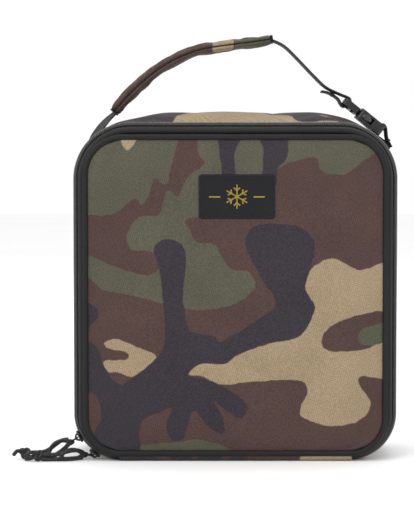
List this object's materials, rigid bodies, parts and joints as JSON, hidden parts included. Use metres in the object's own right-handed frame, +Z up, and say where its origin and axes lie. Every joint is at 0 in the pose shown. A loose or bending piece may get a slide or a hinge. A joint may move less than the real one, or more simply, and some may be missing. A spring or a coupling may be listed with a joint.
{
  "type": "insulated cooler bag",
  "caption": "Upright soft insulated lunch cooler with a zipped front lid, a padded carrying strap with a side-release buckle, cord zip pulls and a flat back pocket.",
  "frame": {"origin": "middle of the base, on the surface that the bag stands on", "axes": "+Z up, +X to the bag's right seen from the front, +Y to the back"},
  "size_m": [0.2782, 0.0964, 0.3086],
  "materials": {
    "camo_fabric": "woven polyester, printed camouflage, coated back",
    "lining": "smooth heat-sealed food-safe sheet, semi-gloss",
    "foam": "closed-cell insulation foam",
    "trim": "black woven binding and piping",
    "zip_tape": "black woven zip tape",
    "zip_teeth": "black nylon coil",
    "slider_metal": "black enamel over zinc alloy",
    "wire": "bright wire",
    "pull_tab": "moulded matt black tab",
    "cord": "braided polyester cord with light flecks",
    "webbing": "ribbed black webbing",
    "buckle": "moulded acetal, satin",
    "label": "woven black patch, embroidered"
  },
  "bodies": {
    "bag": {"gusset_fabric": "camo_fabric", "bottom_panel": "camo_fabric", "gusset_foam": "foam", "back_foam": "foam", "liner_tub": "lining", "body_zip_tape": "zip_tape", "body_zip_coil": "zip_teeth", "back_upper_panel": "camo_fabric", "back_pocket_panel": "camo_fabric", "back_zip_tape_upper": "zip_tape", "back_zip_tape_lower": "zip_tape", "back_zip_coil": "zip_teeth", "back_piping": "trim", "hinge_strip": "camo_fabric", "zip_stop_left": "zip_teeth", "zip_stop_right": "zip_teeth", "strap_left_webbing": "webbing", "strap_right_webbing": "webbing", "anchor_loop": "webbing", "buckle_socket": "buckle", "buckle_plug": "buckle"},
    "lid": {"lid_panel": "camo_fabric", "lid_piping": "trim", "lid_foam": "foam", "lid_liner": "lining", "lid_zip_tape": "zip_tape", "lid_zip_coil": "zip_teeth", "label_patch": "label"},
    "slider_1": {"zip_slider_1": "slider_metal"},
    "slider_2": {"zip_slider_2": "slider_metal"},
    "pull_1": {"pull_ring_1": "wire", "pull_cord_1a": "cord", "pull_cord_1b": "cord", "pull_knot_1": "cord"},
    "pull_2": {"pull_ring_2": "wire", "pull_cord_2a": "cord", "pull_cord_2b": "cord", "pull_knot_2": "cord"},
    "pocket_slider": {"back_slider": "slider_metal"},
    "pocket_tab": {"back_pull_tab": "pull_tab"},
    "handle": {"handle_sleeve": "camo_fabric", "handle_core_webbing": "webbing", "handle_padding": "foam"},
    "arm_front": {"buckle_arm_front": "buckle"},
    "arm_back": {"buckle_arm_back": "buckle"}
  },
  "joints": [
    {"name": "lid_hinge", "type": "hinge", "parent": "bag", "child": "lid", "pos_m": [0, -0.044, 0.0025], "axis": [1, 0, 0], "range_deg": [0, 90]},
    {"name": "handle_swing", "type": "hinge", "parent": "bag", "child": "handle", "pos_m": [-0.095, 0, 0.246], "axis": [0.9955, 0, 0.0944], "range_deg": [-36, 36], "deforming": ["strap_left_webbing", "strap_right_webbing"]},
    {"name": "slider_1_travel", "type": "hinge", "parent": "bag", "child": "slider_1", "pos_m": [-0.083, 0, 0.033], "axis": [0, 1, 0], "range_deg": [0, 28]},
    {"name": "slider_2_travel", "type": "hinge", "parent": "bag", "child": "slider_2", "pos_m": [-0.083, 0, 0.033], "axis": [0, 1, 0], "range_deg": [0, 5]},
    {"name": "pull_1_swing", "type": "hinge", "parent": "slider_1", "child": "pull_1", "pos_m": [-0.11452, -0.03695, 0.01624], "axis": [0, 1, 0], "range_deg": [0, 70]},
    {"name": "pull_2_swing", "type": "hinge", "parent": "slider_2", "child": "pull_2", "pos_m": [-0.10296, -0.03695, 0.0034], "axis": [0, 1, 0], "range_deg": [0, 10]},
    {"name": "pocket_slider_travel", "type": "slide", "parent": "bag", "child": "pocket_slider", "axis": [-1, 0, 0], "range_m": [0, 0.196]},
    {"name": "pocket_tab_swing", "type": "hinge", "parent": "pocket_slider", "child": "pocket_tab", "pos_m": [0.1044, 0.04515, 0.1335], "axis": [0, 1, 0], "range_deg": [-60, 110]},
    {"name": "arm_front_flex", "type": "hinge", "parent": "bag", "child": "arm_front", "pos_m": [0.09115, -0.0092, 0.25288], "axis": [0.6293, 0, 0.7771], "range_deg": [0, 8], "stiffness_Nm_per_rad": 0.1},
    {"name": "arm_back_flex", "type": "hinge", "parent": "bag", "child": "arm_back", "pos_m": [0.09115, 0.0092, 0.25288], "axis": [-0.6293, 0, -0.7771], "range_deg": [0, 8], "stiffness_Nm_per_rad": 0.1}
  ]
}
